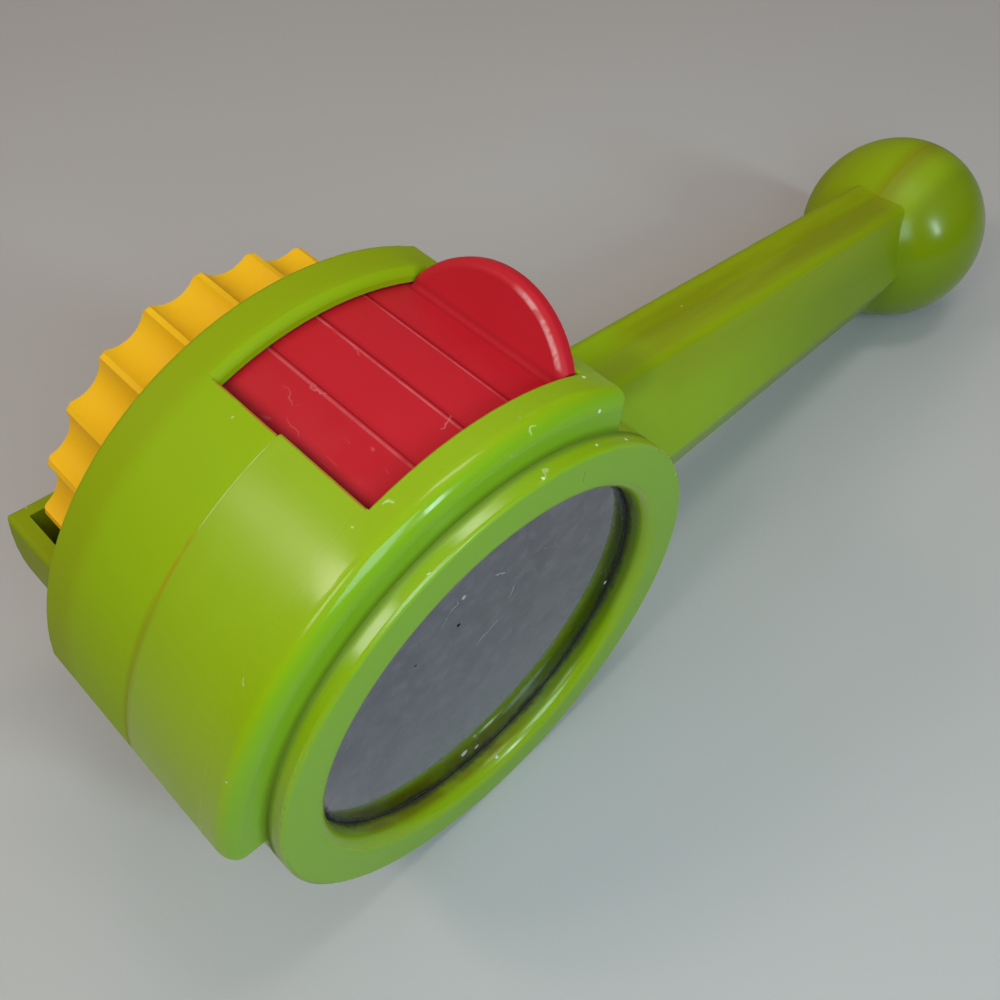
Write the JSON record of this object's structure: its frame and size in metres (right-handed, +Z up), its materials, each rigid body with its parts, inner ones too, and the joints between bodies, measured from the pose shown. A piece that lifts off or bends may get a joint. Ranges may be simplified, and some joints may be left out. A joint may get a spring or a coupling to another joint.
{
  "type": "toy hand mirror with picture viewer",
  "caption": "Toy hand mirror: a round case with a framed mirror, a curved sliding shutter over a picture window, a ridged wheel that turns a picture drum, and a handle with a ball end.",
  "frame": {"origin": "middle of the flat rear plate", "axes": "+X towards the ball at the end of the handle, +Y out of the rear plate, +Z up as the toy lies on its round case and its ball"},
  "size_m": [0.1627, 0.0522, 0.0657],
  "materials": {
    "shell_green": "gloss, scuffed",
    "bezel_green": "gloss, scuffed",
    "mirror": "scratched silvered plastic",
    "pad": "foam",
    "shutter_red": "satin",
    "wheel_yellow": "satin",
    "drum_white": "matt",
    "card": "plain printed card",
    "washer": "matt",
    "steel": "zinc plated"
  },
  "bodies": {
    "case": {"front_shell": "shell_green", "rear_shell": "shell_green", "mirror_bezel": "bezel_green", "mirror_plate": "mirror", "mirror_pad": "pad", "wheel_washer": "washer", "case_screws": "steel"},
    "shutter": {"shutter": "shutter_red"},
    "wheel": {"thumb_wheel": "wheel_yellow", "picture_drum": "drum_white", "picture_cards": "card"}
  },
  "joints": [
    {"name": "shutter_slide", "type": "hinge", "parent": "case", "child": "shutter", "pos_m": [0.00173, -0.034, 0.01283], "axis": [0, -1, 0], "range_deg": [0, 40]},
    {"name": "wheel_turn", "type": "hinge", "parent": "case", "child": "wheel", "pos_m": [0.00173, -0.01, 0.01283], "axis": [0, -1, 0], "continuous": true}
  ]
}
